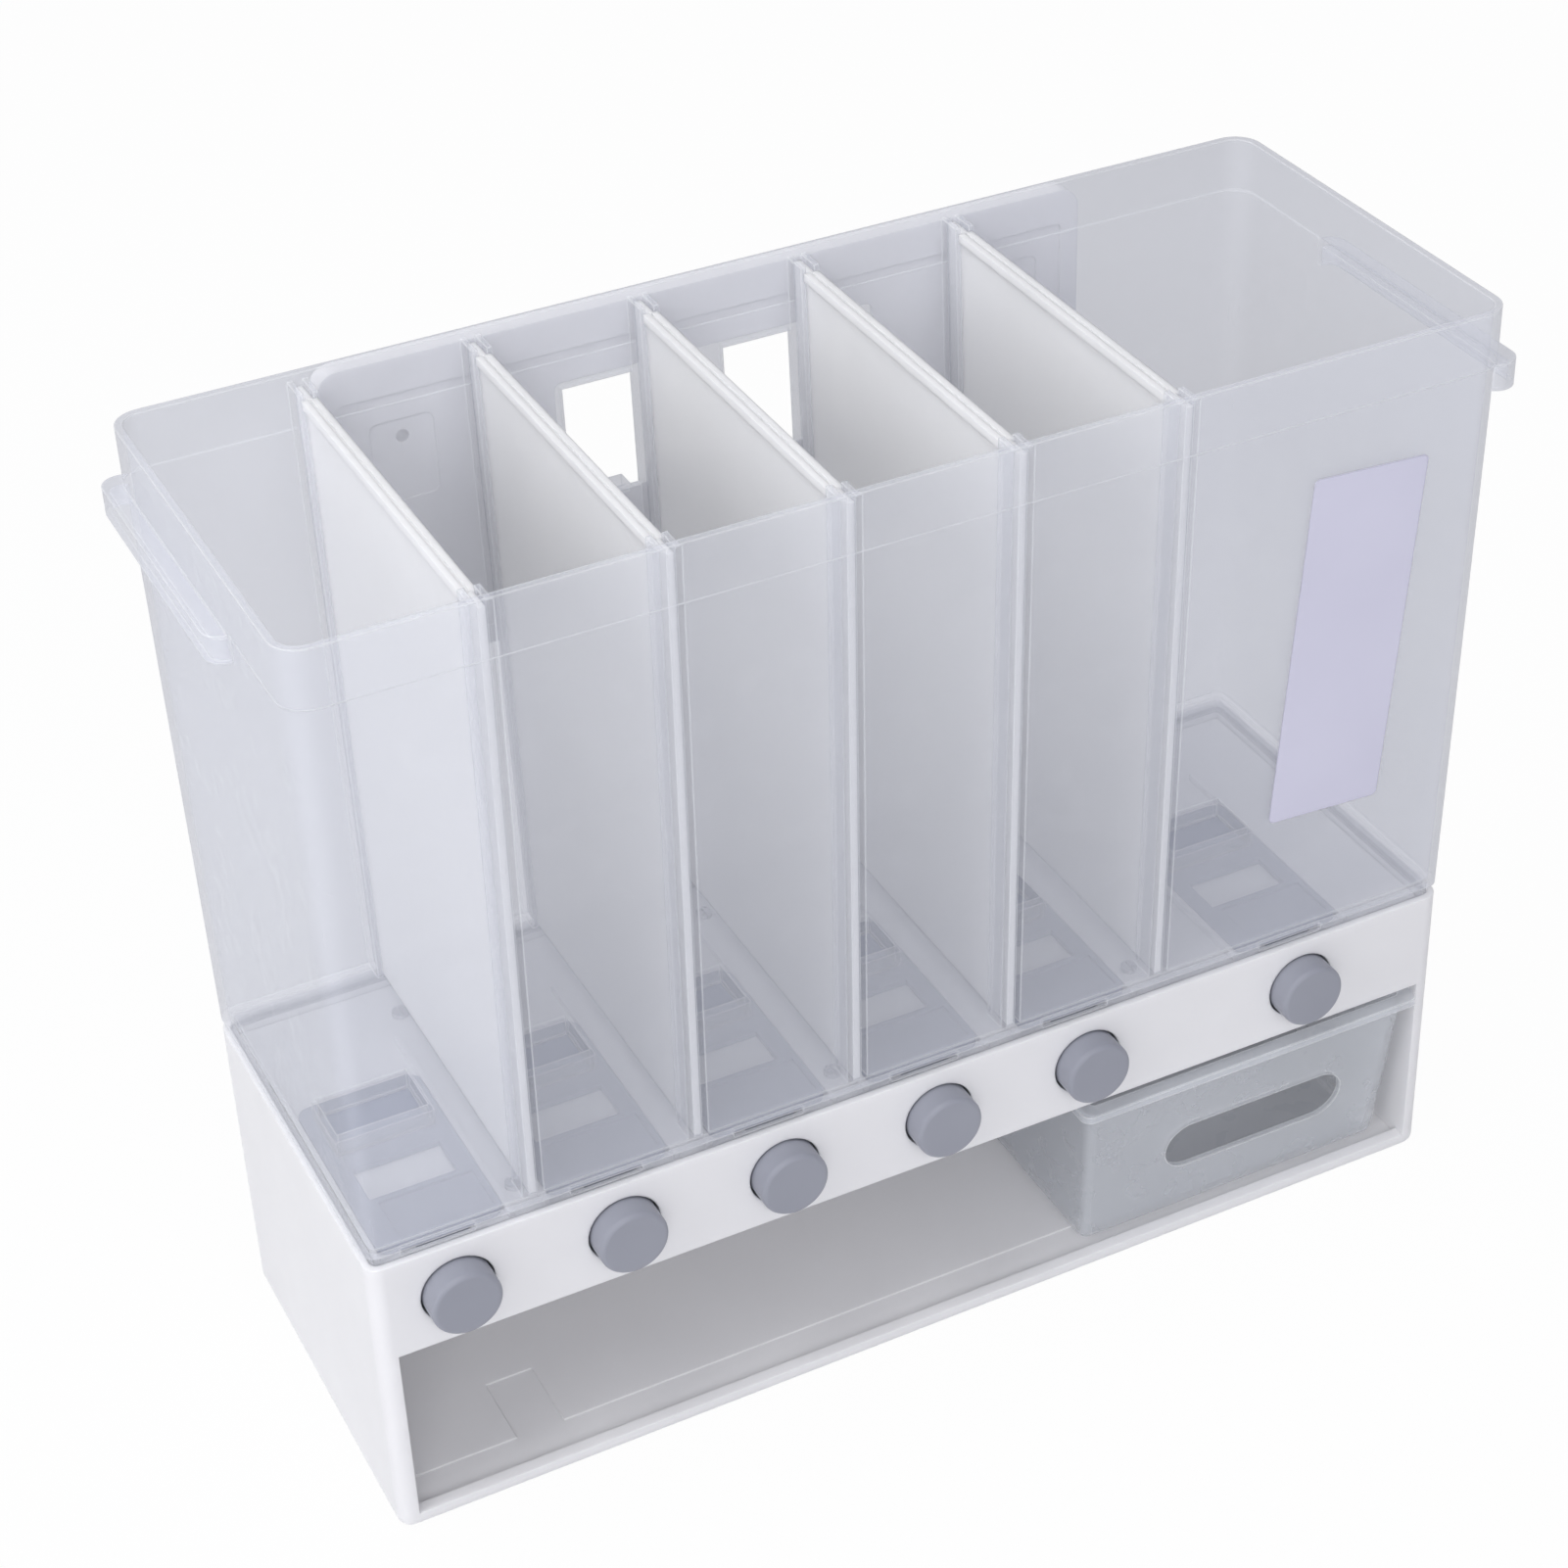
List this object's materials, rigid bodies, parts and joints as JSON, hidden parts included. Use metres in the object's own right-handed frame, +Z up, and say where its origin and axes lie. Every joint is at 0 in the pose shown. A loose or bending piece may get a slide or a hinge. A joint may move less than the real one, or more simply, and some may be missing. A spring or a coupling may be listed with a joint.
{
  "type": "wall-mounted dry food dispenser",
  "caption": "Wall-hung frosted tub with lift-out dividers on a white base with press buttons, sliding shutters and a collecting tray in an open bay.",
  "frame": {"origin": "middle of the footprint's box at the bottom of the base, half way between the wall and the buttons' faces", "axes": "+Z up, the front with the buttons faces -Y and the wall is at +Y, X runs left to right seen from the front"},
  "size_m": [0.4382, 0.1716, 0.3615],
  "materials": {
    "frosted_plastic": "satin",
    "divider_plastic": "satin",
    "white_plastic": "satin",
    "grey_plastic": "satin",
    "tray_plastic": "satin",
    "label_film": "satin",
    "steel": "satin"
  },
  "bodies": {
    "base": {"base_housing": "white_plastic", "deck_plate": "white_plastic", "deck_screws": "steel", "return_spring_1": "steel", "return_spring_2": "steel", "return_spring_3": "steel", "return_spring_4": "steel", "return_spring_5": "steel", "return_spring_6": "steel"},
    "tub_body": {"tub": "frosted_plastic", "label": "label_film"},
    "tray_body": {"collecting_tray": "tray_plastic"},
    "bracket_body": {"wall_bracket": "white_plastic"},
    "divider_body_1": {"divider_1": "divider_plastic"},
    "divider_body_2": {"divider_2": "divider_plastic"},
    "divider_body_3": {"divider_3": "divider_plastic"},
    "divider_body_4": {"divider_4": "divider_plastic"},
    "divider_body_5": {"divider_5": "divider_plastic"},
    "valve_1": {"slider_1": "grey_plastic", "button_1": "grey_plastic"},
    "valve_2": {"slider_2": "grey_plastic", "button_2": "grey_plastic"},
    "valve_3": {"slider_3": "grey_plastic", "button_3": "grey_plastic"},
    "valve_4": {"slider_4": "grey_plastic", "button_4": "grey_plastic"},
    "valve_5": {"slider_5": "grey_plastic", "button_5": "grey_plastic"},
    "valve_6": {"slider_6": "grey_plastic", "button_6": "grey_plastic"}
  },
  "joints": [
    {"name": "tub_lift", "type": "slide", "parent": "base", "child": "tub_body", "axis": [0, 0, 1], "range_m": [0, 0.05]},
    {"name": "tray_shift", "type": "slide", "parent": "base", "child": "tray_body", "axis": [-1, 0, 0], "range_m": [0, 0.26]},
    {"name": "bracket_unhook", "type": "slide", "parent": "tub_body", "child": "bracket_body", "axis": [0, 0, -1], "range_m": [0, 0.014]},
    {"name": "divider_lift_1", "type": "slide", "parent": "tub_body", "child": "divider_body_1", "axis": [0, 0, 1], "range_m": [0, 0.24]},
    {"name": "divider_lift_2", "type": "slide", "parent": "tub_body", "child": "divider_body_2", "axis": [0, 0, 1], "range_m": [0, 0.24]},
    {"name": "divider_lift_3", "type": "slide", "parent": "tub_body", "child": "divider_body_3", "axis": [0, 0, 1], "range_m": [0, 0.24]},
    {"name": "divider_lift_4", "type": "slide", "parent": "tub_body", "child": "divider_body_4", "axis": [0, 0, 1], "range_m": [0, 0.24]},
    {"name": "divider_lift_5", "type": "slide", "parent": "tub_body", "child": "divider_body_5", "axis": [0, 0, 1], "range_m": [0, 0.24]},
    {"name": "button_press_1", "type": "slide", "parent": "base", "child": "valve_1", "axis": [0, 1, 0], "range_m": [0, 0.022], "stiffness_N_per_m": 150, "springref_m": -0.012, "deforming": ["return_spring_1"]},
    {"name": "button_press_2", "type": "slide", "parent": "base", "child": "valve_2", "axis": [0, 1, 0], "range_m": [0, 0.022], "stiffness_N_per_m": 150, "springref_m": -0.012, "deforming": ["return_spring_2"]},
    {"name": "button_press_3", "type": "slide", "parent": "base", "child": "valve_3", "axis": [0, 1, 0], "range_m": [0, 0.022], "stiffness_N_per_m": 150, "springref_m": -0.012, "deforming": ["return_spring_3"]},
    {"name": "button_press_4", "type": "slide", "parent": "base", "child": "valve_4", "axis": [0, 1, 0], "range_m": [0, 0.022], "stiffness_N_per_m": 150, "springref_m": -0.012, "deforming": ["return_spring_4"]},
    {"name": "button_press_5", "type": "slide", "parent": "base", "child": "valve_5", "axis": [0, 1, 0], "range_m": [0, 0.022], "stiffness_N_per_m": 150, "springref_m": -0.012, "deforming": ["return_spring_5"]},
    {"name": "button_press_6", "type": "slide", "parent": "base", "child": "valve_6", "axis": [0, 1, 0], "range_m": [0, 0.022], "stiffness_N_per_m": 150, "springref_m": -0.012, "deforming": ["return_spring_6"]}
  ]
}
